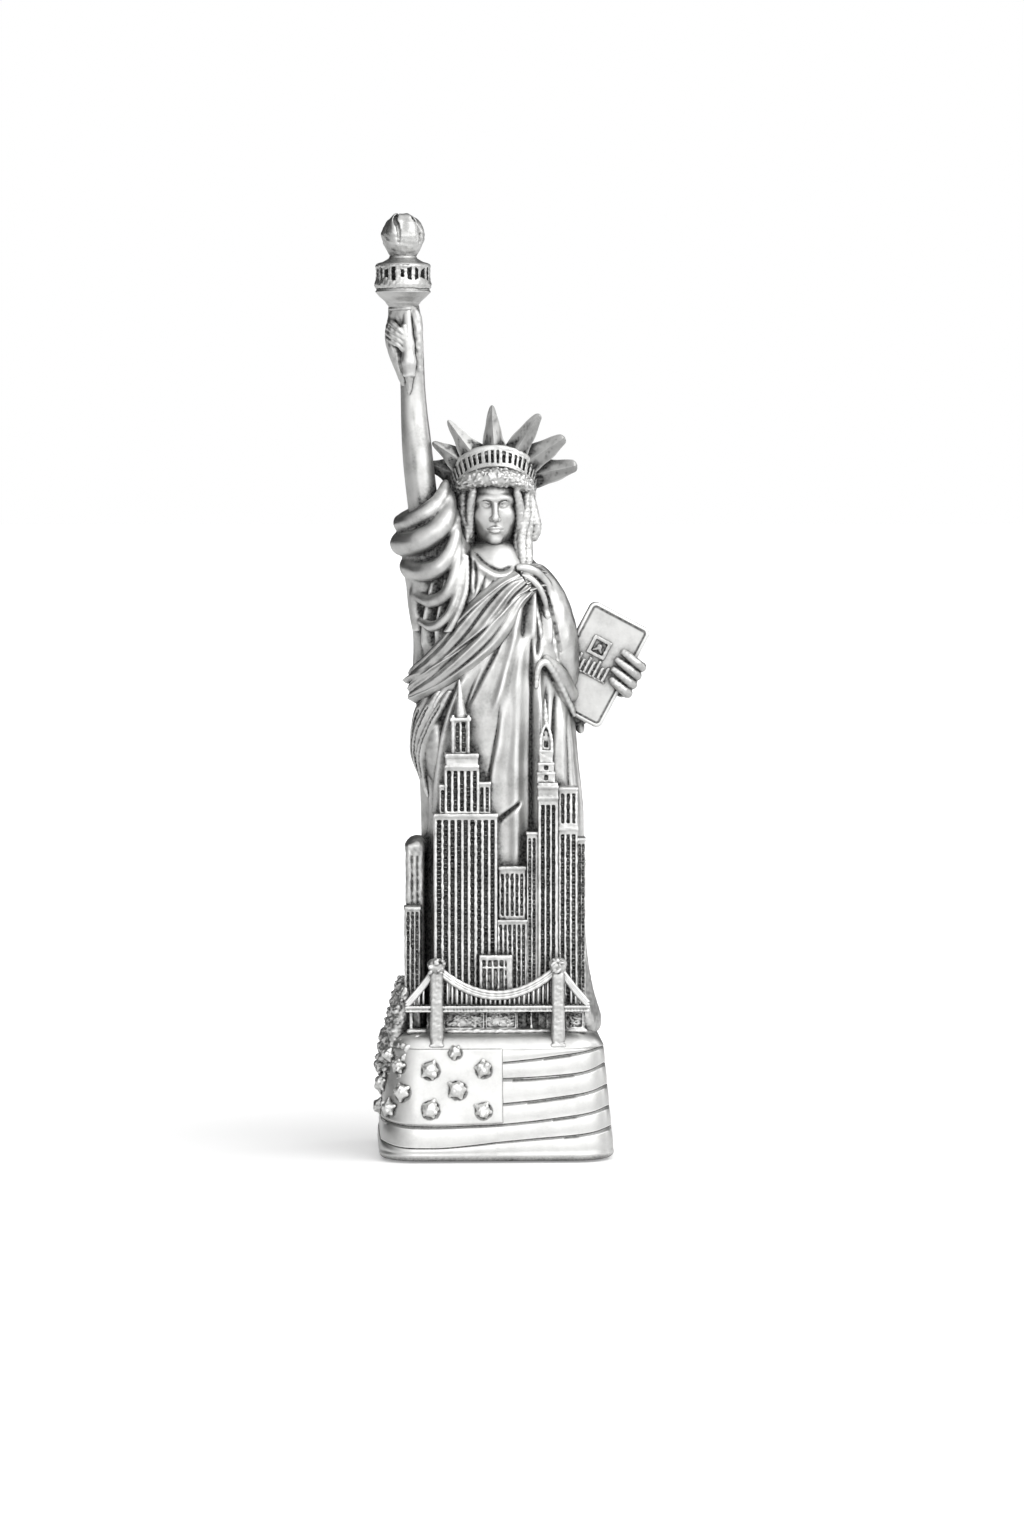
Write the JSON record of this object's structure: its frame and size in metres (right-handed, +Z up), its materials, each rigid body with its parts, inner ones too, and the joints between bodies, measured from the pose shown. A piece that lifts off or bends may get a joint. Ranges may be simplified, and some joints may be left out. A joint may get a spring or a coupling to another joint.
{
  "type": "miniature landmark model",
  "caption": "Cast metal souvenir statuette of a robed torch bearer rising out of a ring of city towers and a suspension bridge, on a flag-covered plinth.",
  "frame": {"origin": "centre of the felt pad's underside, on the surface the statuette stands on", "axes": "+Z up; the figure faces -Y; its raised right arm is on the -X side and its tablet on the +X side"},
  "size_m": [0.0447, 0.0338, 0.1529],
  "materials": {
    "figure_silver": "satin",
    "plinth_silver": "satin",
    "city_silver": "satin",
    "base_felt": "matte",
    "cover_steel": "satin",
    "screw_steel": "satin"
  },
  "bodies": {
    "root": {"bottom_cover": "cover_steel", "bridge_cables": "city_silver", "bridge_deck": "city_silver", "bridge_hangers": "city_silver", "bridge_towers": "city_silver", "diadem": "figure_silver", "diadem_rays": "figure_silver", "diagonal_mantle": "figure_silver", "felt_pad": "base_felt", "fixing_screw": "screw_steel", "gate_block": "city_silver", "hair": "figure_silver", "head": "figure_silver", "hip_swag": "figure_silver", "left_forearm": "figure_silver", "left_hand": "figure_silver", "left_slab": "city_silver", "left_sleeve": "figure_silver", "middle_blocks": "city_silver", "park_trees": "city_silver", "plinth_shell": "plinth_silver", "quay_wall": "city_silver", "raised_arm": "figure_silver", "raised_sleeve": "figure_silver", "raised_stars": "plinth_silver", "rear_low_blocks": "city_silver", "rear_twin_slabs": "city_silver", "right_block": "city_silver", "right_side_blocks": "city_silver", "robe_body": "figure_silver", "spired_tower": "city_silver", "spired_tower_crown": "city_silver", "star_field_panel": "plinth_silver", "stepped_tower": "city_silver", "stepped_tower_mast": "city_silver", "tablet": "figure_silver", "tablet_relief": "figure_silver", "torch_cup": "figure_silver", "torch_flame": "figure_silver", "torch_gallery": "figure_silver", "torch_hand": "figure_silver", "torch_handle": "figure_silver", "torch_lantern": "figure_silver"}
  },
  "joints": []
}
